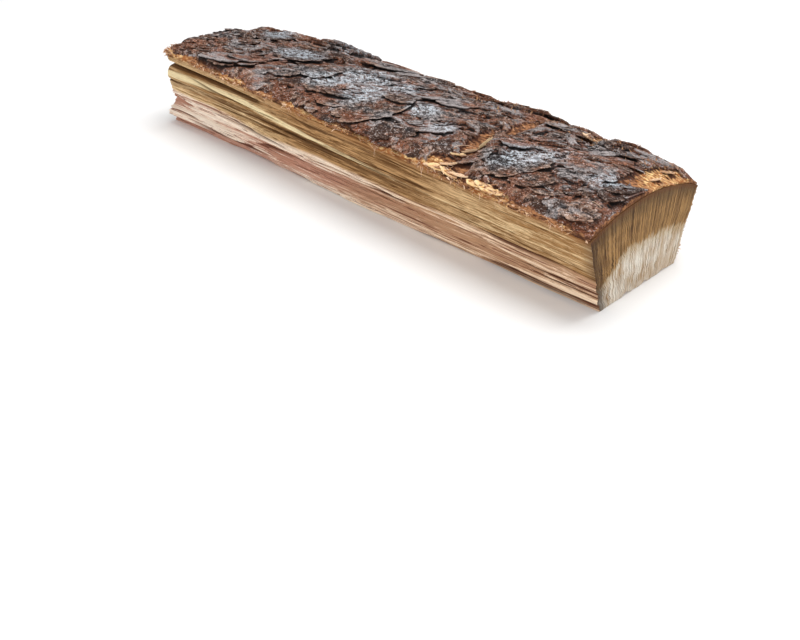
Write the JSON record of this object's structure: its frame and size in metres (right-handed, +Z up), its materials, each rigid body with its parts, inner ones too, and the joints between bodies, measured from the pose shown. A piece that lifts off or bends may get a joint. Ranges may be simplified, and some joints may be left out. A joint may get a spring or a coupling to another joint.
{
  "type": "firewood log",
  "caption": "Split firewood log with scaly bark on its round side, three split faces and two saw-cut ends, lying on its flat lower face.",
  "frame": {"origin": "under the middle of the log, on the surface that it lies on", "axes": "+X along the grain towards the front saw cut, +Y towards the split face on the far side, +Z up through the bark"},
  "size_m": [0.406, 0.1204, 0.0717],
  "materials": {
    "split_wood": "rough split and saw-cut hardwood, pale yellow sapwood over pinkish brown heartwood",
    "bark": "rough scaly bark, dark grey brown with silver lichen and orange inner bark"
  },
  "bodies": {
    "root": {"wood": "split_wood", "bark": "bark"}
  },
  "joints": []
}
